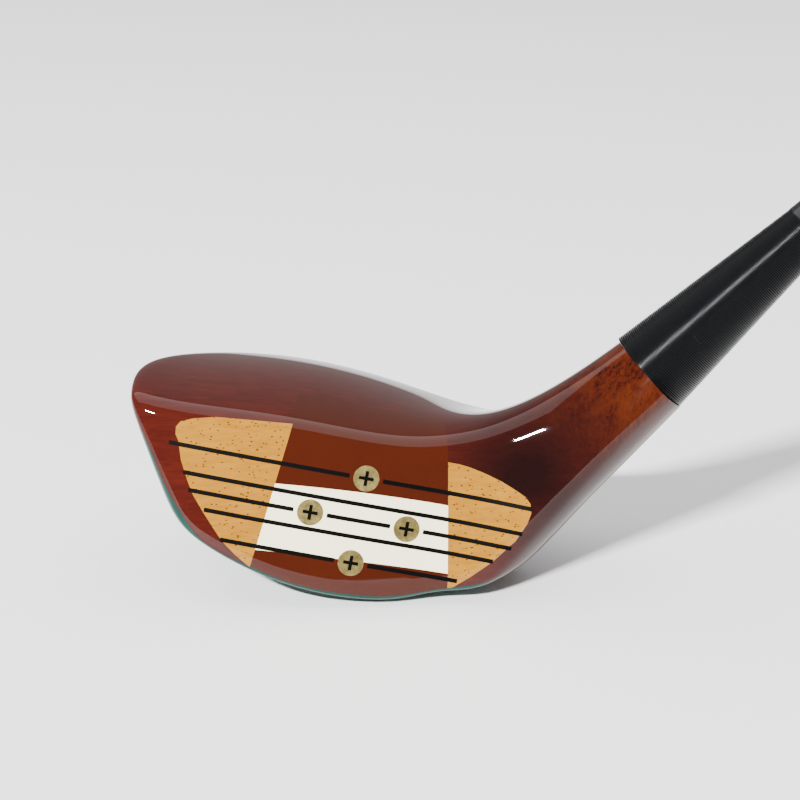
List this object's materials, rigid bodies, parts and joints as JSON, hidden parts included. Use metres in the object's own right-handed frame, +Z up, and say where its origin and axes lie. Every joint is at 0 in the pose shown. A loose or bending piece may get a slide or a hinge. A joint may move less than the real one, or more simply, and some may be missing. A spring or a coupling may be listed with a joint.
{
  "type": "fairway wood",
  "caption": "Right-handed wooden fairway golf club: glossy stained head with layered face insert and sole plate, whipped neck, stepped steel shaft and leather-wrapped grip",
  "frame": {"origin": "the point where the sole touches the floor it stands on", "axes": "+Z up from the floor, +X from toe to heel and along the shaft seen from above, +Y from the face to the back; the club is rolled toe up, as it lies when it is stood on its heel side"},
  "size_m": [0.8589, 0.0724, 0.7716],
  "materials": {
    "head_wood": "stained and varnished, high gloss",
    "insert_brown": "varnished, high gloss",
    "insert_ivory": "varnished, high gloss",
    "screw_brass": "aged, varnished over",
    "sole_metal": "anodised green, satin",
    "screw_steel": "satin",
    "lead": "cast, dull",
    "shaft_steel": "chrome plated",
    "plug_wood": "plain",
    "whipping_thread": "waxed thread, wound tight",
    "black_plastic": "polished",
    "underlisting": "cork and rubber",
    "grip_leather": "perforated, spiral wound"
  },
  "bodies": {
    "root": {"head_block": "head_wood", "face_insert_upper": "insert_brown", "face_insert_band": "insert_ivory", "face_insert_lower": "insert_brown", "face_screw_top": "screw_brass", "face_screw_toe": "screw_brass", "face_screw_heel": "screw_brass", "face_screw_bottom": "screw_brass", "sole_plate": "sole_metal", "sole_screw_toe": "screw_steel", "sole_screw_middle": "screw_steel", "sole_screw_heel": "screw_steel", "sole_screw_rear": "screw_steel", "cap_screw": "screw_steel", "neck_pin": "screw_steel", "lead_weight": "lead", "shaft": "shaft_steel", "shaft_tip_plug": "plug_wood", "butt_plug": "plug_wood", "neck_whipping": "whipping_thread", "whipping_collar": "black_plastic", "grip_lower_collar": "black_plastic", "butt_cap": "black_plastic", "grip_underlisting": "underlisting", "grip_wrap": "grip_leather"}
  },
  "joints": []
}
